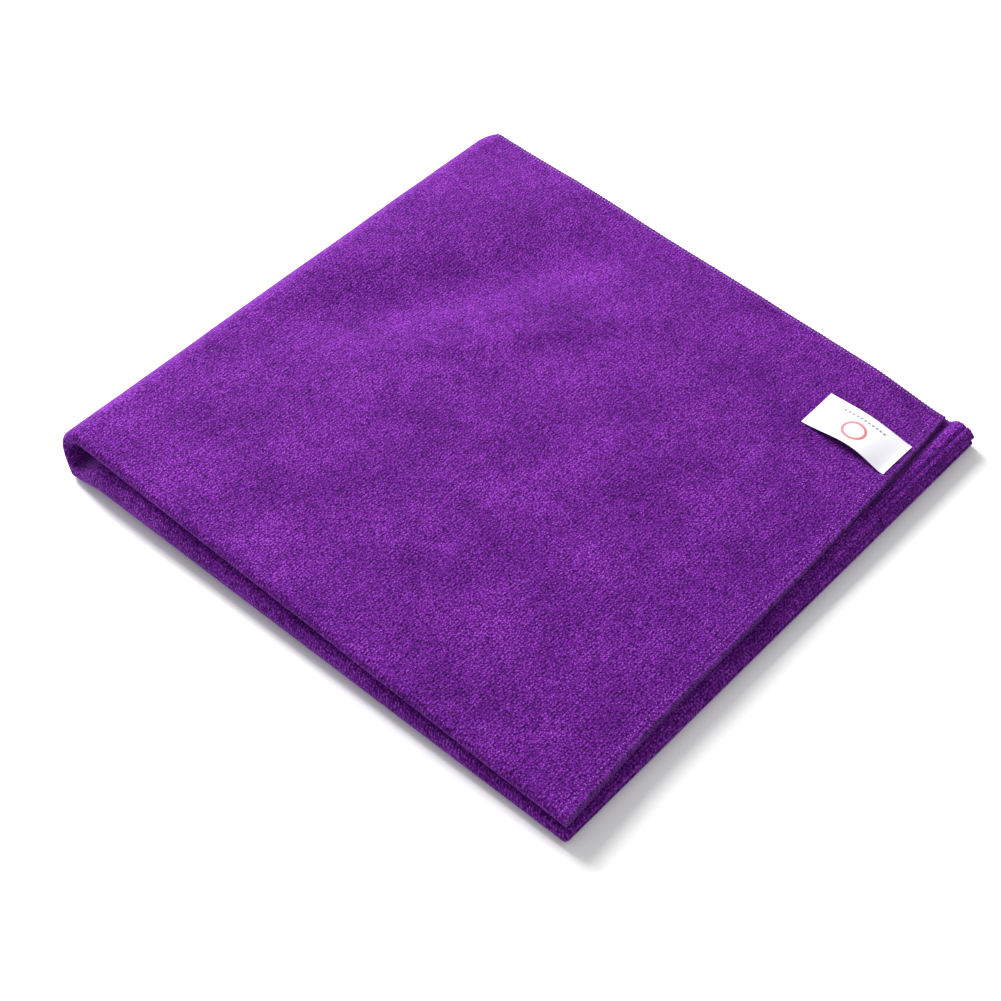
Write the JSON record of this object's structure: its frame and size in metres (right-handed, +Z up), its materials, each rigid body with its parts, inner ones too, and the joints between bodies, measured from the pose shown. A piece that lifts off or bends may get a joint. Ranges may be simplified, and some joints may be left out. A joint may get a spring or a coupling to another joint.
{
  "type": "quick dry towel",
  "caption": "Thin microfibre terry travel towel folded into a square pad, with overlocked edges, an airy bend between its two halves and a sewn-in ribbon label.",
  "frame": {"origin": "middle of the folded pad's footprint, on the surface it lies on", "axes": "+X from the bend to the overlocked ends, +Y from the front folds to the overlocked side edges, +Z up"},
  "size_m": [0.3708, 0.3563, 0.0276],
  "materials": {
    "terry": "short matt pile",
    "overlock_thread": "textured polyester thread",
    "label_satin": "satin weave ribbon"
  },
  "bodies": {
    "lower_half": {"lower_plies": "terry", "lower_edge_overlock_top": "overlock_thread", "lower_edge_overlock_under": "overlock_thread"},
    "bend": {"bend_outer_ply": "terry", "bend_inner_ply": "terry", "bend_edge_overlock_outer_outside": "overlock_thread", "bend_edge_overlock_outer_inside": "overlock_thread", "bend_edge_overlock_inner_outside": "overlock_thread", "bend_edge_overlock_inner_inside": "overlock_thread"},
    "upper_half": {"upper_outer_ply": "terry", "upper_inner_ply": "terry", "end_overlock_outer": "overlock_thread", "end_overlock_inner": "overlock_thread", "upper_edge_overlock_outer_top": "overlock_thread", "upper_edge_overlock_outer_under": "overlock_thread", "upper_edge_overlock_inner_top": "overlock_thread", "upper_edge_overlock_inner_under": "overlock_thread"},
    "label": {"label": "label_satin"}
  },
  "joints": [
    {"name": "bend_roll", "type": "hinge", "parent": "lower_half", "child": "bend", "pos_m": [-0.1716, 0.0026, 0.0138], "axis": [0, -1, 0], "range_deg": [0, 90.95], "deforming": ["bend_outer_ply", "bend_inner_ply", "bend_edge_overlock_outer_outside", "bend_edge_overlock_outer_inside", "bend_edge_overlock_inner_outside", "bend_edge_overlock_inner_inside"]},
    {"name": "upper_half_roll", "type": "hinge", "parent": "bend", "child": "upper_half", "pos_m": [-0.1716, 0.0026, 0.0138], "axis": [0, -1, 0], "range_deg": [0, 90.95]},
    {"name": "label_flap", "type": "hinge", "parent": "upper_half", "child": "label", "pos_m": [0.16402, 0.12805, 0.01611], "axis": [0, 1, 0], "range_deg": [0, 180]}
  ]
}
